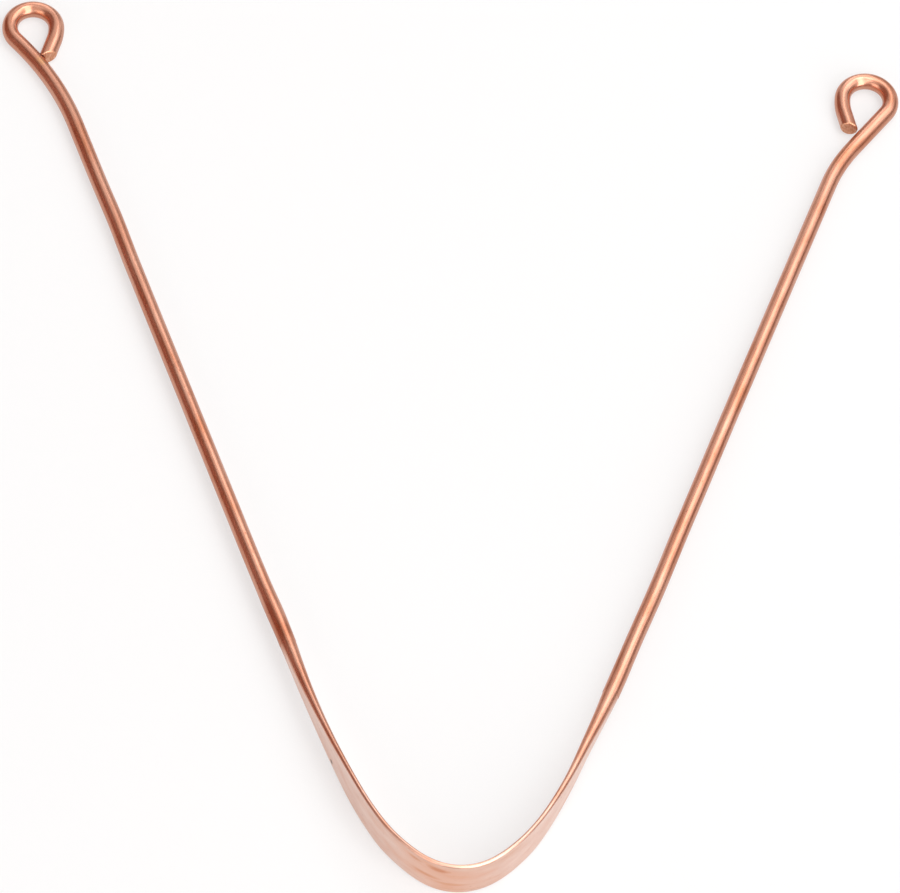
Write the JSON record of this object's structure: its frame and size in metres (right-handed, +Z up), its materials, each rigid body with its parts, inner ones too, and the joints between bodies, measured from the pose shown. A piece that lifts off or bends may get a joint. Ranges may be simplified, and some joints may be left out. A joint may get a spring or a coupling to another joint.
{
  "type": "tongue scraper",
  "caption": "Bent copper wire tongue scraper: the middle of the wire is rolled flat into a springy curved blade, and each end is curled into an eye.",
  "frame": {"origin": "under the middle of the scraper's outline, on the surface it lies on", "axes": "+X from the left arm to the right arm, +Y from the scraping blade to the eyes, +Z up; the wire's own plane leans 1 degree, because the scraper lies on the lower edges of its blade and on an eye"},
  "size_m": [0.1324, 0.1457, 0.0071],
  "materials": {
    "drawn_copper": null,
    "rolled_copper": null
  },
  "bodies": {
    "blade": {"scraping_blade": "rolled_copper", "left_blade_side": "rolled_copper", "right_blade_side": "rolled_copper"},
    "left_grip": {"left_taper": "drawn_copper", "left_arm": "drawn_copper", "left_neck": "drawn_copper", "left_eye": "drawn_copper"},
    "right_grip": {"right_taper": "drawn_copper", "right_arm": "drawn_copper", "right_neck": "drawn_copper", "right_eye": "drawn_copper"}
  },
  "joints": [
    {"name": "left_arm_flex", "type": "hinge", "parent": "blade", "child": "left_grip", "pos_m": [-0.01078, -0.06273, 0.00349], "axis": [0, -0.017, -0.9999], "range_deg": [-8, 8], "stiffness_Nm_per_rad": 0.75, "deforming": ["left_blade_side"]},
    {"name": "right_arm_flex", "type": "hinge", "parent": "blade", "child": "right_grip", "pos_m": [0.01393, -0.06265, 0.00349], "axis": [0, 0.017, 0.9999], "range_deg": [-8, 8], "stiffness_Nm_per_rad": 0.75, "deforming": ["right_blade_side"]}
  ]
}
